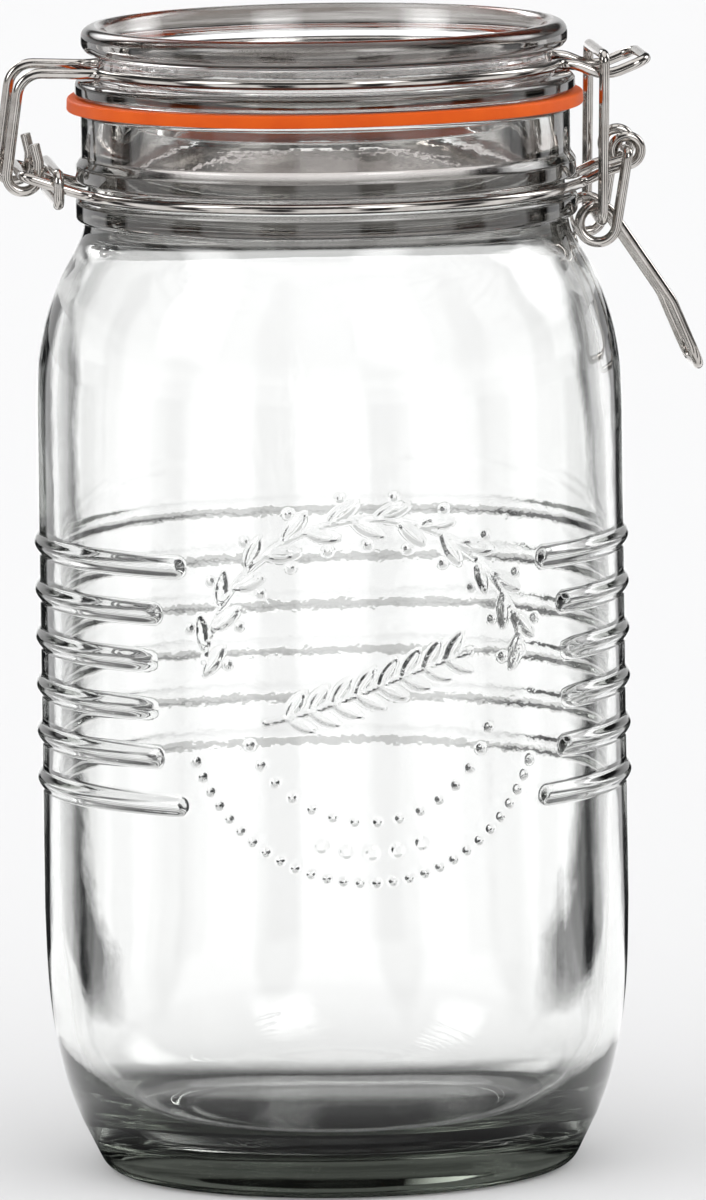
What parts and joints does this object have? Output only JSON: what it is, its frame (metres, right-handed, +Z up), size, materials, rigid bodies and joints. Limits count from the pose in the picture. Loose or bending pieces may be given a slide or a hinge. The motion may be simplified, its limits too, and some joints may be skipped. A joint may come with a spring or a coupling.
{
  "type": "clip-top glass canister",
  "caption": "Round clear glass storage jar with a dished glass lid, an orange rubber seal and a sprung wire toggle clamp opposite a wire hinge.",
  "frame": {"origin": "on the jar's axis, in the plane that the jar stands on", "axes": "+Z up the jar, +X towards the clamp, so the lid's hinge is at -X; the plain oval panel in the ribs faces -Y"},
  "size_m": [0.1317, 0.1109, 0.216],
  "materials": {
    "jar_glass": "clear pressed glass, faint green in the thick parts",
    "lid_glass": "clear pressed glass",
    "orange_rubber": "matte, slightly translucent at its edge",
    "steel_wire": "drawn stainless wire, semi-bright"
  },
  "bodies": {
    "jar": {"glass_jar": "jar_glass", "neck_wire": "steel_wire", "wire_tie": "steel_wire"},
    "lid": {"glass_lid": "lid_glass", "rubber_seal": "orange_rubber", "lid_wire": "steel_wire"},
    "lever": {"clamp_lever": "steel_wire"},
    "bail": {"bail_link": "steel_wire"}
  },
  "joints": [
    {"name": "lid_hinge", "type": "hinge", "parent": "jar", "child": "lid", "pos_m": [-0.0577, 0, 0.1894], "axis": [0, -1, 0], "range_deg": [0, 105]},
    {"name": "lever_pivot", "type": "hinge", "parent": "jar", "child": "lever", "pos_m": [0.0558, 0, 0.1912], "axis": [0, -1, 0], "range_deg": [0, 120]},
    {"name": "bail_pivot", "type": "hinge", "parent": "lever", "child": "bail", "pos_m": [0.0506, 0, 0.1785], "axis": [0, -1, 0], "range_deg": [-80, 0]}
  ],
  "couplings": [
    {"joint": "bail_pivot", "follows": "lever_pivot", "ratio": -0.66}
  ]
}
